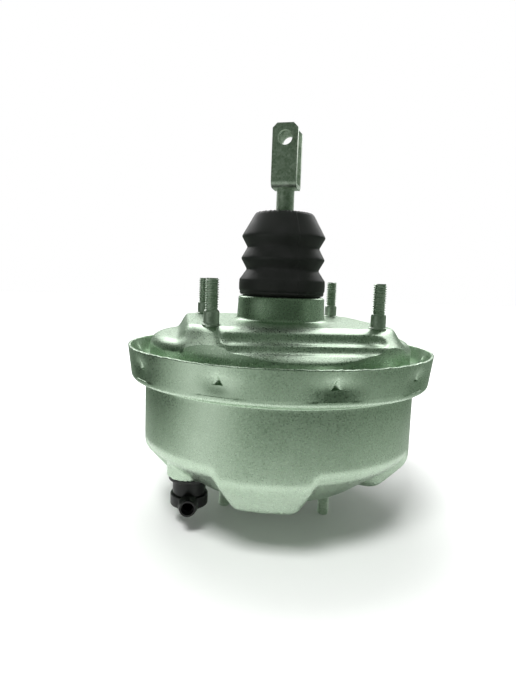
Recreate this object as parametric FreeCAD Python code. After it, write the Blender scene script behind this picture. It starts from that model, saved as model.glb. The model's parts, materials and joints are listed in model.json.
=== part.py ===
"""Single diaphragm vacuum brake booster with a pressed steel housing, in millimetres.

The origin is the centre of the four firewall studs on the mounting face. +Z points to the
brake pedal and -Z to the master cylinder. X and Y run along the sides of the stud square.
"""
import FreeCAD, Part
import math
import os

V = FreeCAD.Vector
AXIS = V(0, 0, 1)

# Housing sheet
sheet = 1.6

# Firewall studs
stud_spacing = 100.8
stud_height = 27.0
stud_thread_r = 3.97
stud_thread_length = 18.0
stud_shoulder_r = 4.6
stud_neck_r = 4.9
stud_head_r = 6.3
stud_head_height = 3.0
stud_gap = 0.1
stud_chamfer = 0.8
stud_thread_lead = 0.6

# Rear shell: raised platform, dome and flange
dome_stud_margin = 16.22
dome_r = stud_spacing * math.sqrt(0.5) + dome_stud_margin
dome_shoulder_r = 7.2
dome_wall_lap = 5.0
shelf_z = -8.2
shelf_fall = 1.8
platform_side_margin = 14.1
platform_half = stud_spacing / 2 + platform_side_margin
platform_reach = dome_r - 5.4
platform_foot_reach = dome_r - 3.5
platform_foot_flare = 13.5
platform_depth = 14.0
platform_edge_r = 3.0
platform_levels = 5
step_margin = 7.6
step_start = stud_spacing / 2 + step_margin
step_slope = 30.0
step_groove_inset = 21.5
upper_groove_at = 7.7
upper_groove_r = 10.0
upper_groove_depth = 1.45
lower_groove_at = 19.6
lower_groove_r = 8.5
lower_groove_depth = 1.0

# Neck of the rear shell
neck_r = 30.0
neck_taper = 0.8
neck_height = 16.4
neck_root_r = 2.5
neck_curl_width = 2.0
neck_curl_r = 2.2

# Rim of the front shell, which holds the rear shell's flange under its lances
rim_r = 101.6
rim_lean = 2.6
rim_top_z = -17.0
rim_root_z = -38.1
flange_top_z = -28.0
flange_gap = 0.3
flange_bend_r = 2.5
lance_count = 10
lance_phase = -83.4
lance_height = 8.0
lance_half_width = 4.4
lance_depth = 3.4
lance_lap = 0.4

# Bowl of the front shell
bowl_r = 90.3
bowl_wall_lap = 8.0
bowl_corner_z = -86.5
bowl_corner_r = 10.0
pad_z = -108.5
pad_corner = 70.9
pad_corner_r = 15.0
lobe_count = 4
recess_phase = -59.75
recess_foot_r = 54.0
recess_slope = 37.6
recess_half_angle = 27.5
recess_draft = 8.0
recess_draft_height = 13.5
pilot_r = 19.05

# Master cylinder studs and their plate
cylinder_stud_spacing = 71.5
cylinder_stud_azimuth = -15.3
cylinder_stud_r = 3.97
cylinder_stud_neck_r = 4.4
cylinder_stud_reach = 27.5
cylinder_stud_head_r = 6.0
cylinder_stud_head_height = 2.6
front_plate_r = 46.5
front_plate_t = 3.0
front_plate_bore_r = 16.0

# Stroke of the power piston and travel of the air valve inside it
piston_stroke = 30.0
valve_travel = 1.5
fit_gap = 0.05
seat_gap = 0.1

# Power piston body
tail_r = 19.0
tail_over_seal = 14.0
tail_top_z = piston_stroke + tail_over_seal
tail_bore_r = 15.5
hub_r = 25.9
hub_top_z = -8.0
hub_bead_z = -14.5
hub_bead_groove_r = 23.2
hub_land_r = 26.1
plate_top_z = -18.5
hub_flange_r = 31.0
hub_flange_t = 4.0
nose_r = 18.0
nose_end_z = -54.0
valve_seat_z = 10.0
valve_seat_r = 11.8
valve_seat_width = 1.2
valve_seat_height = 1.0
chamber_r = 10.3
chamber_floor_z = 3.0
reaction_bore_r = 13.0
reaction_bore_top_z = -38.0
vacuum_port_r = 1.8

# Diaphragm and its plate
plate_t = 1.5
plate_flat_r = 48.0
plate_rim_gap = 11.3
plate_rim_width = 3.5
plate_rim_r = bowl_r - plate_rim_gap
plate_cone_r = plate_rim_r - plate_rim_width
plate_cone_z = -36.0
plate_rim_z = -40.5
rubber_t = 1.6
bead_inner_r = 91.0
roll_r = 2.6

# Reaction disc, output rod and its screw
reaction_disc_t = 7.0
output_head_r = 12.7
output_head_t = 4.0
output_rod_r = 5.0
output_rod_end_z = -111.0
output_retainer_t = 1.2
output_retainer_height = 3.4
output_screw_r = 2.5
output_screw_head_r = 4.0
output_tip_z = -119.5

# Air valve: plunger, key, poppet and their springs
plunger_r = 7.0
plunger_tip_r = 5.0
plunger_tip_length = 2.4
plunger_flange_r = 9.3
plunger_flange_t = 3.0
waist_r = 4.5
key_z = -3.1
key_t = 2.0
key_width = 18.0
key_reach = 31.0
key_azimuth = 45.0
poppet_bore_r = 6.6
poppet_face_r = 13.6
poppet_face_t = 2.5
poppet_sleeve_r = 10.2
poppet_top_z = 21.0
poppet_lip_t = 2.1
poppet_lip_r = 15.3
retainer_t = 1.0
retainer_height = 5.0
retainer_bore_r = 6.4
poppet_wire_r = 0.5
poppet_coil_r = 12.2
rod_wire_r = 0.7
rod_coil_r = 8.0

# Filter parts in the tail
filter_bore_r = 9.2
filter_bottom_z = 36.0
filter_t = 4.0
silencer_t = 3.6

# Input rod and clevis
ball_r = 5.0
ball_z = 6.5
ball_neck_r = 3.4
inner_rod_r = 4.2
inner_rod_z = 16.0
rod_washer_r = 9.0
rod_washer_t = 1.4
rod_washer_z = 33.0
rod_r = 5.9
rivet_neck_r = 3.4
rivet_t = 2.0
clevis_azimuth = -112.0
clevis_bottom_z = 87.3
clevis_height = 40.3
clevis_width = 16.7
clevis_across = 19.0
clevis_t = 3.0
clevis_fold_r = 4.2
clevis_corner = 3.0
pin_hole_r = 4.8
pin_hole_below_top = 9.0

# Return spring and its seats at the front
return_wire_r = 1.6
return_coil_r = 26.0
return_turns = 5.25
front_cup_t = 1.2
front_cup_r = 20.5
front_cup_height = 6.4
front_cup_bore_r = 8.0

# Seal and guide ring in the neck
rear_seal_bottom_z = 0.5
rear_seal_height = 6.0
guide_ring_height = 3.2

# Boot
boot_wall = 1.8
boot_bottom_z = 17.0
boot_bead_r = 29.1
boot_ridge_r = 28.2
boot_valley_r = 24.3
boot_first_ridge_z = 27.5
boot_pitch = 14.3
boot_ridge_count = 3
boot_cap_r = 19.4
boot_top_z = 71.5
boot_lip_depth = 4.2
boot_lip_r = 27.2

# Vacuum check valve on its local flat
valve_flat_z = -102.0
valve_flat_r = 14.8
valve_boss_room = 30.0
valve_place_r = 63.0
valve_azimuth = -163.4
grommet_hole_r = 8.2
grommet_flange_r = 13.6
grommet_flange_t = 2.2
grommet_bore_r = 5.1
grommet_inner_r = 10.2
grommet_inner_t = 3.0
valve_stem_end_z = -92.0
valve_stem_barb_r = 5.9
valve_body_r = 10.8
valve_body_height = 9.4
valve_drum_r = 12.3
valve_drum_height = 8.0
valve_wall = 1.8
nozzle_azimuth = -94.0
nozzle_reach = 19.6
nozzle_axis_drop = 3.6
nozzle_r = 5.2
nozzle_bore_r = 3.4
nozzle_mouth_r = 4.1
nozzle_mouth_depth = 5.0
nozzle_barb_r = 6.4
nozzle_barb_count = 2
nozzle_barb_pitch = 2.8
nozzle_tip_land = 2.0
valve_disc_r = 6.8
valve_disc_t = 1.6
valve_wire_r = 0.35
valve_coil_r = 4.6


def polar(radius, azimuth, z=0.0):
    """Point at a radius and an azimuth in degrees."""
    turn = math.radians(azimuth)
    return V(radius * math.cos(turn), radius * math.sin(turn), z)


def rounded_wire(corners):
    """Closed wire in the XZ plane from corners (x, z, corner radius)."""
    count = len(corners)
    starts, ends, middles = [], [], []
    for i, (x, z, radius) in enumerate(corners):
        here = V(x, 0, z)
        before = V(corners[i - 1][0], 0, corners[i - 1][1])
        after = V(corners[(i + 1) % count][0], 0, corners[(i + 1) % count][1])
        if radius <= 0:
            starts.append(here)
            ends.append(here)
            middles.append(None)
            continue
        to_before = (before - here).normalize()
        to_after = (after - here).normalize()
        half_angle = to_before.getAngle(to_after) / 2
        reach = radius / math.tan(half_angle)
        centre = here + (to_before + to_after).normalize() * (radius / math.sin(half_angle))
        starts.append(here + to_before * reach)
        ends.append(here + to_after * reach)
        middles.append(centre + (here - centre).normalize() * radius)
    edges = []
    for i in range(count):
        if middles[i] is not None:
            edges.append(Part.Arc(starts[i], middles[i], ends[i]).toShape())
        following = starts[(i + 1) % count]
        if (following - ends[i]).Length > 1e-6:
            edges.append(Part.LineSegment(ends[i], following).toShape())
    return Part.Wire(edges)


def turned(corners):
    """Solid of revolution about Z from corners (r, z) or (r, z, corner radius)."""
    full = [(c[0], c[1], c[2] if len(c) > 2 else 0.0) for c in corners]
    return Part.Face(rounded_wire(full)).revolve(V(0, 0, 0), AXIS, 360)


def offset_line(line, gap):
    """The open line that runs at a distance to the left of an open line of corners."""
    full = [(c[0], c[1], c[2] if len(c) > 2 else 0.0) for c in line]
    result = []
    for i, (r, z, radius) in enumerate(full):
        steps = []
        if i > 0:
            steps.append((r - full[i - 1][0], z - full[i - 1][1]))
        if i < len(full) - 1:
            steps.append((full[i + 1][0] - r, full[i + 1][1] - z))
        lengths = [math.hypot(*step) for step in steps]
        normals = [(-step[1] / length, step[0] / length) for step, length in zip(steps, lengths)]
        first, last = normals[0], normals[-1]
        share = gap / (1 + first[0] * last[0] + first[1] * last[1])
        turn = first[0] * last[1] - first[1] * last[0]
        if radius > 0:
            radius = max(radius - gap, 0.0) if turn > 0 else radius + gap
        result.append((r + share * (first[0] + last[0]), z + share * (first[1] + last[1]), radius))
    return result


def pressed(line, thickness):
    """Ring of sheet that lies to the left of an open line, turned about Z."""
    return turned(list(line) + offset_line(line, thickness)[::-1])


def cylinder(radius, z_low, z_high, x=0.0, y=0.0):
    """Upright cylinder between two heights."""
    return Part.makeCylinder(radius, z_high - z_low, V(x, y, z_low), AXIS)


def ring(inner, outer, z_low, z_high):
    """Plain ring between two heights."""
    return turned([(inner, z_low), (outer, z_low), (outer, z_high), (inner, z_high)])


def coil(mean_r, wire_r, z_low, z_high, turns):
    """Compression spring whose wire stays between two heights."""
    height = z_high - z_low - 2 * wire_r
    path = Part.makeHelix(height / turns, height, mean_r)
    section = Part.Wire(Part.makeCircle(wire_r, V(mean_r, 0, 0), V(0, 1, 0)))
    spring = Part.Wire(path.Edges).makePipeShell([section], True, True)
    spring.translate(V(0, 0, z_low + wire_r))
    return spring


def polyhedron(points, faces):
    """Solid with flat faces, each a list of point numbers."""
    sides = []
    for face in faces:
        loop = [points[i] for i in face]
        sides.append(Part.Face(Part.makePolygon(loop + [loop[0]])))
    return Part.Solid(Part.makeShell(sides))


def group(shapes):
    """Separate solids kept in one node."""
    return Part.makeCompound(shapes)


def stud_places():
    """Centres of the firewall studs."""
    half = stud_spacing / 2
    return [V(x, y, 0) for x in (-half, half) for y in (-half, half)]


def cylinder_stud_places():
    """Centres of the master cylinder studs."""
    radius = cylinder_stud_spacing / 2
    return [polar(radius, cylinder_stud_azimuth + turn) for turn in (0, 180)]


def rounded_square(half, corner_r, z):
    """Square outline with round corners at a height."""
    flat = half - corner_r
    diagonal = flat + corner_r * math.sqrt(0.5)
    edges = []
    for side in range(4):
        turn = FreeCAD.Rotation(AXIS, 90 * side)
        start = turn.multVec(V(half, -flat, 0)) + V(0, 0, z)
        end = turn.multVec(V(half, flat, 0)) + V(0, 0, z)
        middle = turn.multVec(V(diagonal, diagonal, 0)) + V(0, 0, z)
        following = turn.multVec(V(flat, half, 0)) + V(0, 0, z)
        edges.append(Part.LineSegment(start, end).toShape())
        edges.append(Part.Arc(end, middle, following).toShape())
    return Part.Wire(edges)


def platform_form(inset):
    """Raised platform with flanks that flare out to the dome, inset by a distance."""
    sections = []
    for level in range(platform_levels):
        share = 1 - level / (platform_levels - 1)
        half = platform_half + platform_foot_flare * share ** 2
        reach = platform_reach + (platform_foot_reach - platform_reach) * share
        corner_r = (half * math.sqrt(2) - reach) / (math.sqrt(2) - 1)
        z = -platform_depth * share
        sections.append(rounded_square(half - inset, corner_r - inset, z - inset))
    block = Part.makeLoft(sections, True, False)
    top = [edge for edge in block.Edges if edge.BoundBox.ZMin > -inset - 0.01]
    return block.makeFillet(platform_edge_r - inset, top)


def dome_form(inset):
    """Round dome under the platform, down to where its wall meets the flange's bend."""
    line = [
        (dome_r, flange_top_z + dome_wall_lap),
        (dome_r, shelf_z - shelf_fall, dome_shoulder_r),
        (platform_half, shelf_z, 0),
        (0, shelf_z, 0),
    ]
    shifted = offset_line(line, inset)
    return turned(shifted + [(0, flange_top_z + dome_wall_lap)])


def step_cut(inset):
    """Material above the sloping front face and in its two pressed grooves."""
    slope = math.radians(step_slope)
    outward = V(0, -math.cos(slope), -math.sin(slope))
    normal = V(0, -math.sin(slope), math.cos(slope))
    tool = Part.makeBox(2 * rim_r, rim_r, rim_r, V(-rim_r, -rim_r / 2, -inset))
    tool.rotate(V(0, 0, 0), V(1, 0, 0), step_slope)
    tool.translate(V(0, -step_start, 0))
    grooves = (
        (upper_groove_at, upper_groove_r, upper_groove_depth),
        (lower_groove_at, lower_groove_r, lower_groove_depth),
    )
    step_groove_half = platform_half - step_groove_inset
    for at, radius, depth in grooves:
        middle = V(0, -step_start, 0) + outward * at + normal * (radius - depth)
        left = middle - V(step_groove_half, 0, 0)
        right = middle + V(step_groove_half, 0, 0)
        trough = Part.makeCylinder(radius + inset, 2 * step_groove_half, left, V(1, 0, 0))
        for end in (left, right):
            trough = trough.fuse(Part.makeSphere(radius + inset, end))
        tool = tool.fuse(trough)
    return tool


def rear_form(inset):
    """Outside of the rear shell, or its inside when inset by the sheet."""
    return platform_form(inset).fuse(dome_form(inset)).cut(step_cut(inset))


def neck_line():
    """Outer line of the neck from the mounting face up to the curled edge."""
    return [
        (neck_r + neck_root_r + 0.5, 0),
        (neck_r, 0, neck_root_r),
        (neck_r - neck_taper, neck_height, neck_curl_r),
        (neck_r - sheet - neck_curl_width, neck_height),
    ]


def rear_shell():
    """Rear housing half: flange, dome, platform and neck."""
    body = rear_form(0.0).cut(rear_form(sheet))
    flange = [
        (flange_outer_r(), flange_top_z),
        (dome_r, flange_top_z, flange_bend_r),
        (dome_r, flange_top_z + dome_wall_lap),
    ]
    root = neck_line()[0][0]
    body = body.cut(cylinder(root, -2 * sheet, sheet))
    body = body.fuse([pressed(flange, sheet), pressed(neck_line(), sheet)])
    for place in stud_places():
        body = body.cut(cylinder(stud_neck_r + stud_gap, -2 * sheet, sheet, place.x, place.y))
    return body.removeSplitter()


def rim_line():
    """Outer line of the bowl's top and the rim above it, up to the rim's edge."""
    return [
        (bowl_r, rim_root_z - bowl_wall_lap),
        (bowl_r, rim_root_z, 1.6),
        (rim_r - rim_lean, rim_root_z, 3.5),
        (rim_r, rim_top_z),
    ]


def rim_inner_r(z):
    """Inside radius of the rim's leaning wall at a height."""
    share = (rim_top_z - z) / (rim_top_z - rim_root_z)
    return rim_r - sheet - rim_lean * share


def flange_outer_r():
    """Outer radius of the rear shell's flange inside the rim."""
    return rim_inner_r(flange_top_z - sheet) - flange_gap


def bowl_form(inset):
    """Bowl below the rim with its recesses, or its inside when inset by the sheet."""
    line = [
        (0, pad_z),
        (pad_corner, pad_z, pad_corner_r),
        (bowl_r, bowl_corner_z, bowl_corner_r),
        (bowl_r, rim_root_z - bowl_wall_lap),
    ]
    block = turned(offset_line(line, inset) + [(0, rim_root_z - bowl_wall_lap)])
    for number in range(lobe_count):
        block = block.cut(recess_scoop(recess_phase + number * 360 / lobe_count, inset))
    return block


def recess_outline(shift, z):
    """Plan of a recess at a height: a wedge from the axis, with its sides moved out by a distance."""
    half = math.radians(recess_half_angle)
    near = V(-shift / math.sin(half), 0, z)
    far = [near + V(math.cos(half), side * math.sin(half), 0) * 3 * bowl_r for side in (1, -1)]
    return Part.makePolygon([near, *far, near])


def recess_scoop(azimuth, inset):
    """Drafted wedge, outside a sloping floor, which opens one recess between two lobes."""
    slope = math.radians(recess_slope)
    draft = math.tan(math.radians(recess_draft))
    low = pad_z - bowl_corner_r
    high = bowl_corner_z + bowl_corner_r
    shifts = [inset + (pad_z + recess_draft_height - z) * draft for z in (low, high)]
    outlines = [recess_outline(shift, z) for shift, z in zip(shifts, (low, high))]
    floor_r = recess_foot_r - inset / math.sin(slope)
    floor = turned([
        (0, low),
        (floor_r + (low - pad_z) / math.tan(slope), low),
        (floor_r + (high - pad_z) / math.tan(slope), high),
        (0, high),
    ])
    tool = Part.makeLoft(outlines, True, True).cut(floor)
    tool.rotate(V(0, 0, 0), AXIS, azimuth)
    return tool


def valve_centre():
    """Axis of the check valve."""
    return polar(valve_place_r, valve_azimuth)


def add_valve_flat(block, inset):
    """Press the flat for the check valve into a bowl form."""
    place = valve_centre()
    face = valve_flat_z + inset
    boss = cylinder(valve_flat_r - inset, face, face + valve_boss_room, place.x, place.y)
    room = cylinder(valve_flat_r + inset, face - valve_boss_room, face, place.x, place.y)
    inside = cylinder(bowl_r - inset, pad_z, bowl_corner_z + bowl_corner_r)
    return block.fuse(boss.common(inside)).cut(room)


def lance(azimuth, shift):
    """Three sided pyramid pressed inward under the rim's edge, moved in by a distance."""
    low = flange_top_z + seat_gap
    wall_low = rim_inner_r(low) + sheet + lance_lap
    wall_high = rim_inner_r(low + lance_height) + sheet + lance_lap
    points = [
        V(wall_high - shift, 0, low + lance_height),
        V(wall_low - shift, -lance_half_width, low),
        V(wall_low - shift, lance_half_width, low),
        V(wall_low - lance_depth - lance_lap - shift, 0, low),
    ]
    wedge = polyhedron(points, [(0, 1, 3), (0, 3, 2), (0, 2, 1), (1, 2, 3)])
    wedge.rotate(V(0, 0, 0), AXIS, azimuth)
    return wedge


def front_shell():
    """Front housing half: rim with lances, bowl with its lobes and a pad."""
    outer = add_valve_flat(bowl_form(0.0), 0.0)
    inner = add_valve_flat(bowl_form(sheet), sheet)
    body = outer.cut(inner)
    body = body.fuse(pressed(rim_line(), sheet))
    azimuths = [lance_phase + number * 360 / lance_count for number in range(lance_count)]
    body = body.fuse([lance(azimuth, sheet) for azimuth in azimuths])
    body = body.cut(Part.makeCompound([lance(azimuth, 0.0) for azimuth in azimuths]))
    place = valve_centre()
    flat, pad = valve_flat_z - sheet, pad_z - sheet
    holes = [cylinder(grommet_hole_r, flat, flat + 3 * sheet, place.x, place.y)]
    holes.append(cylinder(pilot_r, pad, pad + 3 * sheet))
    for stud in cylinder_stud_places():
        holes.append(cylinder(cylinder_stud_neck_r + stud_gap, pad, pad + 3 * sheet, stud.x, stud.y))
    return body.cut(Part.makeCompound(holes)).removeSplitter()


def firewall_studs():
    """Four studs: head inside the shell, knurled neck in its sheet, shoulder and thread above."""
    stud = turned([
        (0, -sheet - stud_head_height),
        (stud_head_r, -sheet - stud_head_height),
        (stud_head_r, -sheet),
        (stud_neck_r, -sheet),
        (stud_neck_r, 0),
        (stud_shoulder_r, 0),
        (stud_shoulder_r, stud_height - stud_thread_length),
        (stud_thread_r, stud_height - stud_thread_length + stud_thread_lead),
        (stud_thread_r, stud_height - stud_chamfer),
        (stud_thread_r - stud_chamfer, stud_height),
        (0, stud_height),
    ])
    return group([stud.translated(place) for place in stud_places()])


def front_plate():
    """Plate inside the pad that carries the master cylinder studs."""
    low = pad_z + sheet
    plate = ring(front_plate_bore_r, front_plate_r, low, low + front_plate_t)
    for place in cylinder_stud_places():
        plate = plate.cut(cylinder(
            cylinder_stud_neck_r + stud_gap, pad_z, low + 2 * front_plate_t, place.x, place.y))
    return plate


def cylinder_studs():
    """Two studs whose heads rest on the plate inside the pad."""
    seat = pad_z + sheet + front_plate_t
    end = pad_z - cylinder_stud_reach
    stud = turned([
        (0, end),
        (cylinder_stud_r - stud_chamfer, end),
        (cylinder_stud_r, end + stud_chamfer),
        (cylinder_stud_r, pad_z),
        (cylinder_stud_neck_r, pad_z),
        (cylinder_stud_neck_r, seat),
        (cylinder_stud_head_r, seat),
        (cylinder_stud_head_r, seat + cylinder_stud_head_height),
        (0, seat + cylinder_stud_head_height),
    ])
    return group([stud.translated(place) for place in cylinder_stud_places()])


def front_cup_top_z():
    """Rear face of the cup that holds the front seal."""
    return pad_z + sheet + front_plate_t + front_cup_height


def front_cup():
    """Pressed cup over the front seal, with a flange under the return spring."""
    seat = pad_z + sheet + front_plate_t
    line = [
        (return_coil_r + return_wire_r + 1.5, seat + front_cup_t),
        (front_cup_r, seat + front_cup_t, 0.6),
        (front_cup_r, front_cup_top_z(), 2.0),
        (front_cup_bore_r, front_cup_top_z()),
    ]
    return pressed(line, front_cup_t)


def front_seal():
    """Rubber seal round the output rod, with a lip on each side."""
    seat = pad_z + sheet + front_plate_t
    top = front_cup_top_z() - front_cup_t - seat_gap
    outer = front_cup_r - front_cup_t - seat_gap
    bore = output_rod_r + fit_gap
    return turned([
        (bore, seat - 1.5),
        (bore + 1.6, seat - 1.5),
        (bore + 3.0, seat, 0.6),
        (outer, seat),
        (outer, top, 1.2),
        (bore + 3.0, top, 0.6),
        (bore + 1.6, top - 1.4, 0.4),
        (bore, top - 1.4),
    ])


def return_spring():
    """Large spring between the power piston's flange and the front cup."""
    low = pad_z + sheet + front_plate_t + front_cup_t
    high = hub_flange_bottom_z()
    return coil(return_coil_r, return_wire_r, low, high, return_turns)


def hub_flange_bottom_z():
    """Front face of the power piston's flange."""
    return plate_top_z - plate_t - hub_flange_t


def valve_body():
    """Moulded power piston body: tail, hub, flange and nose, bored for the air valve."""
    flange_top = plate_top_z - plate_t
    ledge = valve_seat_z - valve_seat_height
    stem_end = plunger_tip_top_z() - valve_travel - 0.3
    body = turned([
        (tail_bore_r, tail_top_z),
        (tail_bore_r, ledge),
        (valve_seat_r + valve_seat_width / 2, ledge),
        (valve_seat_r + valve_seat_width / 2, valve_seat_z),
        (valve_seat_r - valve_seat_width / 2, valve_seat_z),
        (chamber_r, ledge),
        (chamber_r, chamber_floor_z),
        (plunger_r + fit_gap, chamber_floor_z),
        (plunger_r + fit_gap, stem_end),
        (plunger_tip_r + fit_gap, stem_end),
        (plunger_tip_r + fit_gap, reaction_bore_top_z),
        (reaction_bore_r, reaction_bore_top_z),
        (reaction_bore_r, nose_end_z),
        (nose_r - 1.5, nose_end_z),
        (nose_r, nose_end_z + 1.5),
        (nose_r, flange_top - hub_flange_t, 1.5),
        (hub_flange_r, flange_top - hub_flange_t, 0.8),
        (hub_flange_r, flange_top),
        (hub_land_r, flange_top),
        (hub_land_r, plate_top_z),
        (hub_bead_groove_r, plate_top_z),
        (hub_bead_groove_r, hub_bead_z),
        (hub_r, hub_bead_z),
        (hub_r, hub_top_z, 1.5),
        (tail_r, hub_top_z, 1.5),
        (tail_r, tail_top_z, 0.8),
    ])
    slot_height = key_t + 2 * seat_gap
    slot = Part.makeBox(
        tail_r + key_width / 2 + 2, key_width + 2 * seat_gap, slot_height,
        V(-key_width / 2 - seat_gap, -key_width / 2 - seat_gap, key_z - slot_height / 2))
    tools = [slot]
    air_r = (plunger_r + chamber_r) / 2 + 0.6
    tools.append(cylinder(1.3, key_z, chamber_floor_z + 1, air_r, 0))
    port_r = tail_bore_r - vacuum_port_r
    port_end = hub_flange_bottom_z() - 6
    for side in (-1, 1):
        tools.append(cylinder(vacuum_port_r, port_end, ledge + 1, 0, side * port_r))
        mouth = Part.makeCylinder(vacuum_port_r, nose_r, V(0, side * port_r, port_end), V(0, side, 0))
        tools.append(mouth)
    for tool in tools:
        tool.rotate(V(0, 0, 0), AXIS, key_azimuth)
        body = body.cut(tool)
    return body


def plunger_tip_top_z():
    """Shoulder between the plunger's stem and its tip, at rest."""
    return reaction_bore_top_z + valve_travel + seat_gap + plunger_tip_length


def plunger():
    """Air valve plunger: socket for the rod's ball, waist for the key and a small tip."""
    waist_low = key_z - key_t / 2 - seat_gap
    waist_high = key_z + key_t / 2 + seat_gap + valve_travel
    top = valve_seat_z + 0.5
    tip_top = plunger_tip_top_z()
    body = turned([
        (0, tip_top - plunger_tip_length),
        (plunger_tip_r, tip_top - plunger_tip_length),
        (plunger_tip_r, tip_top),
        (plunger_r, tip_top),
        (plunger_r, waist_low),
        (waist_r, waist_low),
        (waist_r, waist_high),
        (plunger_r, waist_high),
        (plunger_r, top - plunger_flange_t),
        (plunger_flange_r, top - plunger_flange_t),
        (plunger_flange_r, top),
        (0, top),
    ])
    socket = Part.makeSphere(ball_r + fit_gap, V(0, 0, ball_z))
    mouth = cylinder(ball_neck_r + 1.0, ball_z, top + 1)
    return body.cut(socket).cut(mouth)


def valve_key():
    """Forked key through the tail that holds the plunger and stops against the rear shell."""
    low = key_z - key_t / 2
    blade = Part.makeBox(
        key_reach + key_width / 2, key_width, key_t, V(-key_width / 2, -key_width / 2, low))
    fork_r = waist_r + seat_gap
    fork = Part.makeBox(
        key_width, 2 * fork_r, key_t + 2, V(-key_width, -fork_r, low - 1))
    blade = blade.cut(fork).cut(cylinder(fork_r, low - 1, low + key_t + 1))
    corners = [edge for edge in blade.Edges if edge.BoundBox.XMin > key_reach - 0.1
               and edge.BoundBox.ZLength > key_t / 2]
    blade = blade.makeFillet(key_width / 4, corners)
    blade.rotate(V(0, 0, 0), AXIS, key_azimuth)
    return blade


def poppet():
    """Rubber poppet: face ring, sleeve and the lip that the retainer holds."""
    face = valve_seat_z + 0.65
    lip = poppet_top_z - poppet_lip_t
    return turned([
        (poppet_bore_r, face),
        (poppet_face_r, face, 0.4),
        (poppet_face_r, face + poppet_face_t, 0.4),
        (poppet_sleeve_r, face + poppet_face_t),
        (poppet_sleeve_r, lip),
        (poppet_lip_r, lip),
        (poppet_lip_r, poppet_top_z),
        (poppet_sleeve_r - 1.4, poppet_top_z),
        (poppet_sleeve_r - 1.4, face + poppet_face_t),
        (poppet_bore_r, face + poppet_face_t),
    ])


def poppet_spring():
    """Light spring that closes the poppet."""
    low = valve_seat_z + 0.65 + poppet_face_t
    return coil(poppet_coil_r, poppet_wire_r, low, poppet_top_z - poppet_lip_t, 3)


def poppet_retainer():
    """Pressed ring in the tail's bore over the poppet's lip."""
    bottom = poppet_top_z + seat_gap
    line = [
        (retainer_bore_r, bottom),
        (tail_bore_r - fit_gap, bottom, 1.4),
        (tail_bore_r - fit_gap, bottom + retainer_height),
    ]
    return pressed(line, retainer_t)


def rod_spring():
    """Spring that pushes the input rod back."""
    low = poppet_top_z + seat_gap + retainer_t
    return coil(rod_coil_r, rod_wire_r, low, rod_washer_z, 4)


def air_filter():
    """Ring of filter foam round the input rod."""
    return ring(filter_bore_r, tail_bore_r - seat_gap, filter_bottom_z, filter_bottom_z + filter_t)


def silencer():
    """Felt ring over the filter."""
    low = filter_bottom_z + filter_t
    return ring(filter_bore_r, tail_bore_r - seat_gap, low, low + silencer_t)


def input_rod():
    """Input rod: ball, thin neck, spring washer, shank and the rivet head in the clevis."""
    fold_top = clevis_bottom_z + clevis_t
    rivet_r = clevis_across / 2 - clevis_fold_r - seat_gap
    shank = turned([
        (0, ball_z),
        (ball_neck_r, ball_z),
        (ball_neck_r, inner_rod_z),
        (inner_rod_r, inner_rod_z + 1),
        (inner_rod_r, rod_washer_z),
        (rod_washer_r, rod_washer_z),
        (rod_washer_r, rod_washer_z + rod_washer_t),
        (rod_r, rod_washer_z + rod_washer_t),
        (rod_r, clevis_bottom_z),
        (rivet_neck_r, clevis_bottom_z),
        (rivet_neck_r, fold_top),
        (rivet_r, fold_top),
        (rivet_r, fold_top + rivet_t, 0.8),
        (0, fold_top + rivet_t),
    ])
    return shank.fuse(Part.makeSphere(ball_r, V(0, 0, ball_z))).removeSplitter()


def clevis():
    """Folded strip with two ears and a hole for the pedal pin."""
    half = clevis_across / 2
    top = clevis_bottom_z + clevis_height
    outer = [
        (-half, top, 0),
        (-half, clevis_bottom_z, clevis_fold_r),
        (half, clevis_bottom_z, clevis_fold_r),
        (half, top, 0),
    ]
    inner_r = clevis_fold_r - clevis_t
    inner = [
        (half - clevis_t, top, 0),
        (half - clevis_t, clevis_bottom_z + clevis_t, inner_r),
        (-half + clevis_t, clevis_bottom_z + clevis_t, inner_r),
        (-half + clevis_t, top, 0),
    ]
    strip = Part.Face(rounded_wire(outer + inner)).extrude(V(0, clevis_width, 0))
    strip.translate(V(0, -clevis_width / 2, 0))
    corners = [edge for edge in strip.Edges if edge.BoundBox.ZMin > top - 0.1
               and edge.BoundBox.XLength > clevis_t / 2]
    strip = strip.makeChamfer(clevis_corner, corners)
    pin_z = top - pin_hole_below_top
    pin = Part.makeCylinder(pin_hole_r, 2 * clevis_across, V(-clevis_across, 0, pin_z), V(1, 0, 0))
    hole = cylinder(rivet_neck_r + 0.02, clevis_bottom_z - 1, clevis_bottom_z + clevis_t + 1)
    strip = strip.cut(pin).cut(hole)
    strip.rotate(V(0, 0, 0), AXIS, clevis_azimuth)
    return strip


def neck_bore_r():
    """Inside radius of the neck at its top, which the seal and the guide ring fit."""
    return neck_r - neck_taper - sheet


def rear_seal():
    """Lip seal between the neck and the tail."""
    low = rear_seal_bottom_z
    high = low + rear_seal_height
    bore = tail_r + fit_gap
    outer = neck_bore_r() - 0.02
    return turned([
        (bore, low),
        (bore + 1.8, low),
        (bore + 2.6, high - 2.4, 0.6),
        (outer - 2.2, high - 2.4, 0.6),
        (outer - 1.6, low),
        (outer, low),
        (outer, high),
        (bore + 1.0, high),
        (bore, high - 1.5),
    ])


def guide_ring():
    """Plastic ring that guides the tail above the seal."""
    low = rear_seal_bottom_z + rear_seal_height
    return turned([
        (tail_r + fit_gap, low),
        (neck_bore_r() - 0.02, low),
        (neck_bore_r() - 0.02, low + guide_ring_height),
        (tail_r + fit_gap, low + guide_ring_height, 0.6),
    ])


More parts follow.
